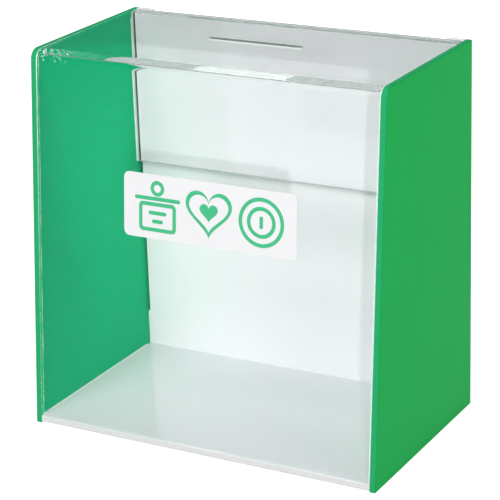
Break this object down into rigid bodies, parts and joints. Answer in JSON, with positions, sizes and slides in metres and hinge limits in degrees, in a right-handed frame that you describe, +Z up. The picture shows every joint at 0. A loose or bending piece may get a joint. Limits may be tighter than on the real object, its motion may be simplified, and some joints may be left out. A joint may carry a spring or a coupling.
{
  "type": "donation box",
  "caption": "Counter-top donation box with coloured side panels, a clear bent front and top with a money slot, a raised white floor and a white back door that lifts out.",
  "frame": {"origin": "centre of the footprint of the whole box, on the surface that the side panels stand on", "axes": "+Z up, -Y out of the sloping front, +X to the right seen from the front"},
  "size_m": [0.25, 0.1546, 0.25],
  "materials": {
    "green_acrylic": "glossy opaque green acrylic sheet with polished edges",
    "white_acrylic": "glossy opaque white acrylic sheet",
    "clear_acrylic": "clear acrylic sheet, heat-bent, with polished edges",
    "label_film": "satin white self-adhesive film with a green print"
  },
  "bodies": {
    "shell": {"left_side_panel": "green_acrylic", "right_side_panel": "green_acrylic", "clear_cover": "clear_acrylic", "base_panel": "white_acrylic", "inner_rear_panel": "clear_acrylic", "lower_rear_strip": "white_acrylic", "rear_guide_left": "white_acrylic", "rear_guide_right": "white_acrylic", "front_label": "label_film"},
    "door": {"back_door": "white_acrylic", "door_pull": "white_acrylic"}
  },
  "joints": [
    {"name": "door_lift", "type": "slide", "parent": "shell", "child": "door", "axis": [0, 0, 1], "range_m": [0, 0.25]}
  ]
}
